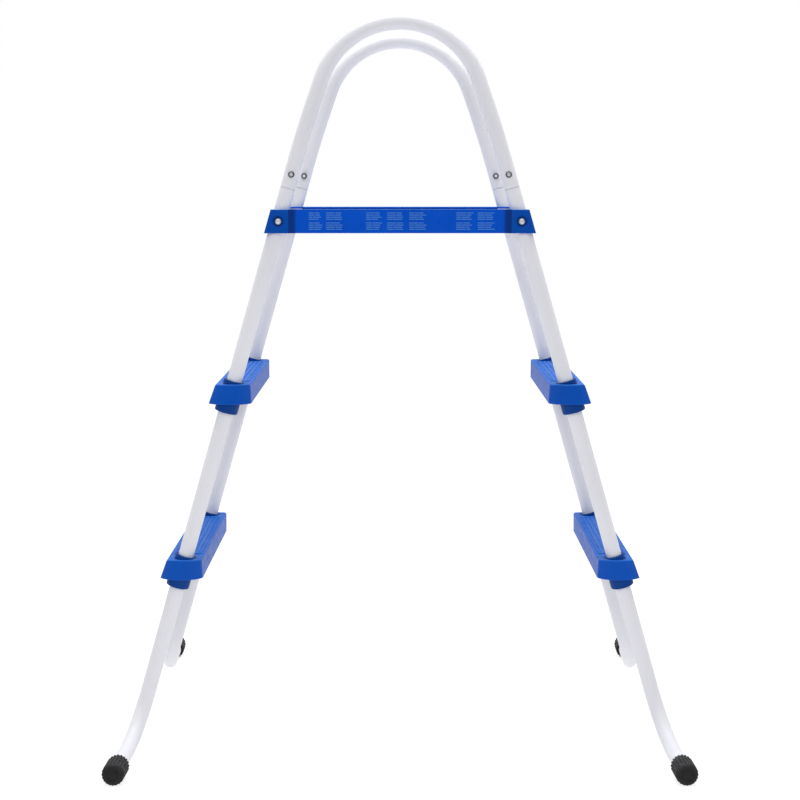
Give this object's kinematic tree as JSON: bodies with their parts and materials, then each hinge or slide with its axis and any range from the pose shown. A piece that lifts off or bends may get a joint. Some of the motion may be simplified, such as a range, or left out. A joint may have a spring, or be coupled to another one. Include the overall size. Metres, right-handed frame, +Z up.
{
  "type": "pool ladder",
  "caption": "A-frame above-ground pool ladder with arched white tube handrails, blue moulded treads on both slopes and ribbed rubber feet.",
  "frame": {"origin": "on the ground plane, under the middle of the ladder (centre of the four feet)", "axes": "+Z up; X across the pool wall, in the climbing direction; Y from the front side frame (-Y) to the back one (+Y)"},
  "size_m": [0.9264, 0.7508, 1.2049],
  "materials": {
    "white_powder_coat": "satin white powder coat on steel tube",
    "tread_plastic": "fine-grained moulded blue plastic",
    "bar_plastic": "semi-gloss moulded blue plastic",
    "collar_plastic": "satin moulded dark blue plastic",
    "cap_rubber": "matt black moulded rubber",
    "zinc_steel": "bright zinc plated steel"
  },
  "bodies": {
    "frame": {"handrail_front": "white_powder_coat", "handrail_back": "white_powder_coat", "leg_front_left": "white_powder_coat", "leg_front_right": "white_powder_coat", "leg_back_left": "white_powder_coat", "leg_back_right": "white_powder_coat", "spacer_bar_front": "bar_plastic", "spacer_bar_back": "bar_plastic", "tread_upper_left": "tread_plastic", "tread_upper_right": "tread_plastic", "tread_lower_left": "tread_plastic", "tread_lower_right": "tread_plastic", "collar_upper_front_left": "collar_plastic", "collar_upper_front_right": "collar_plastic", "collar_upper_back_left": "collar_plastic", "collar_upper_back_right": "collar_plastic", "collar_lower_front_left": "collar_plastic", "collar_lower_front_right": "collar_plastic", "collar_lower_back_left": "collar_plastic", "collar_lower_back_right": "collar_plastic", "handrail_bolts": "zinc_steel", "handrail_nuts": "zinc_steel", "bar_bolts": "zinc_steel", "bar_washers": "zinc_steel", "bar_nuts": "zinc_steel", "collar_screws": "zinc_steel"},
    "foot_cap_front_left": {"foot_cap_front_left": "cap_rubber"},
    "foot_cap_front_right": {"foot_cap_front_right": "cap_rubber"},
    "foot_cap_back_left": {"foot_cap_back_left": "cap_rubber"},
    "foot_cap_back_right": {"foot_cap_back_right": "cap_rubber"}
  },
  "joints": [
    {"name": "foot_cap_front_left_pull", "type": "slide", "parent": "frame", "child": "foot_cap_front_left", "axis": [-0.0349, -0.9994, 0], "range_m": [0, 0.04]},
    {"name": "foot_cap_front_right_pull", "type": "slide", "parent": "frame", "child": "foot_cap_front_right", "axis": [0.0349, -0.9994, 0], "range_m": [0, 0.04]},
    {"name": "foot_cap_back_left_pull", "type": "slide", "parent": "frame", "child": "foot_cap_back_left", "axis": [-0.0349, 0.9994, 0], "range_m": [0, 0.04]},
    {"name": "foot_cap_back_right_pull", "type": "slide", "parent": "frame", "child": "foot_cap_back_right", "axis": [0.0349, 0.9994, 0], "range_m": [0, 0.04]}
  ]
}
